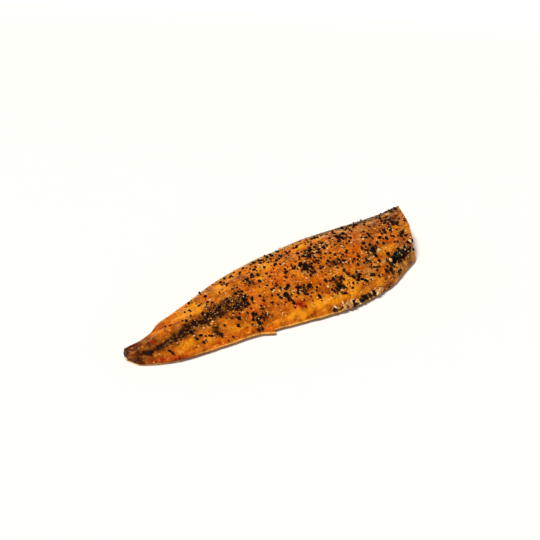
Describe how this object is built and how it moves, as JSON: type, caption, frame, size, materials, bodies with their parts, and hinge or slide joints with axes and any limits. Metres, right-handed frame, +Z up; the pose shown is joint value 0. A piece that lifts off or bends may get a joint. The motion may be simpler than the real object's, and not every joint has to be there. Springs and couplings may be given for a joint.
{
  "type": "peppered smoked mackerel fillet",
  "caption": "Long smoked fish fillet lying skin side down, tapering to the tail, cut on a slant at the head end, its orange-brown meat covered with cracked pepper.",
  "frame": {"origin": "middle of the fillet's footprint, on the flat underside that it rests on", "axes": "+X along the fillet from the tail to the head end, +Y across it from the belly edge to the back edge, +Z up through its thickness"},
  "size_m": [0.2382, 0.068, 0.0181],
  "materials": {
    "smoked_flesh": "oily satin smoked fish meat, amber to orange, browner round the pepper and along the dark middle furrow",
    "smoked_skin": "thin smoked skin with a silvery gold sheen, and dark wavy bars on the back half",
    "black_pepper": "cracked black peppercorn husk, wrinkled and nearly matt",
    "pale_pepper": "broken cream pepper core, matt and floury",
    "chilli": "thin dried red chilli flake, slightly glossy"
  },
  "bodies": {
    "root": {"fillet": "smoked_flesh"}
  },
  "joints": []
}
